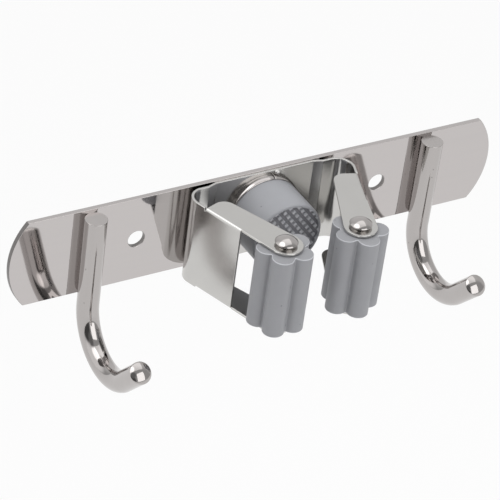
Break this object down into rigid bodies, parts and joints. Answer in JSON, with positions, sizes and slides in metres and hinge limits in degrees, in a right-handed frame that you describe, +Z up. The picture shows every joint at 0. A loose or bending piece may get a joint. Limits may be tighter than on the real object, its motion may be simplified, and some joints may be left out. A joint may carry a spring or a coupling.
{
  "type": "wall mop holder rack",
  "caption": "Steel wall plate with a hook at each end and a sprung clip whose lobed rubber rollers grip a mop handle against a rubber bumper.",
  "frame": {"origin": "middle of the plate's back face, on the wall", "axes": "+X along the plate to the right as seen from the room, +Y into the wall, +Z up"},
  "size_m": [0.186, 0.0501, 0.058],
  "materials": {
    "polished_steel": "mirror-polished stainless steel",
    "satin_steel": "fine-brushed stainless spring strip",
    "roller_rubber": "matt grey rubber",
    "bumper_rubber": "smooth light grey rubber",
    "core_plastic": "plain black plastic"
  },
  "bodies": {
    "rack": {"back_plate": "polished_steel", "left_hook": "polished_steel", "right_hook": "polished_steel", "clip_base": "satin_steel", "left_bend": "satin_steel", "right_bend": "satin_steel", "bumper_ring": "polished_steel", "ring_weld": "polished_steel", "bumper": "bumper_rubber"},
    "left_arm": {"left_arm": "satin_steel", "left_rivet": "polished_steel"},
    "right_arm": {"right_arm": "satin_steel", "right_rivet": "polished_steel"},
    "left_roller": {"left_roller": "roller_rubber", "left_roller_core": "core_plastic"},
    "right_roller": {"right_roller": "roller_rubber", "right_roller_core": "core_plastic"}
  },
  "joints": [
    {"name": "left_arm_flex", "type": "hinge", "parent": "rack", "child": "left_arm", "pos_m": [-0.02872, -0.00595, 0], "axis": [0, 0, -1], "range_deg": [0, 15], "stiffness_Nm_per_rad": 3, "deforming": ["left_bend"]},
    {"name": "right_arm_flex", "type": "hinge", "parent": "rack", "child": "right_arm", "pos_m": [0.02872, -0.00595, 0], "axis": [0, 0, 1], "range_deg": [0, 15], "stiffness_Nm_per_rad": 3, "deforming": ["right_bend"]},
    {"name": "left_roller_spin", "type": "hinge", "parent": "left_arm", "child": "left_roller", "pos_m": [-0.01412, -0.04041, 0], "axis": [0, 0, 1], "continuous": true},
    {"name": "right_roller_spin", "type": "hinge", "parent": "right_arm", "child": "right_roller", "pos_m": [0.01412, -0.04041, 0], "axis": [0, 0, 1], "continuous": true}
  ]
}
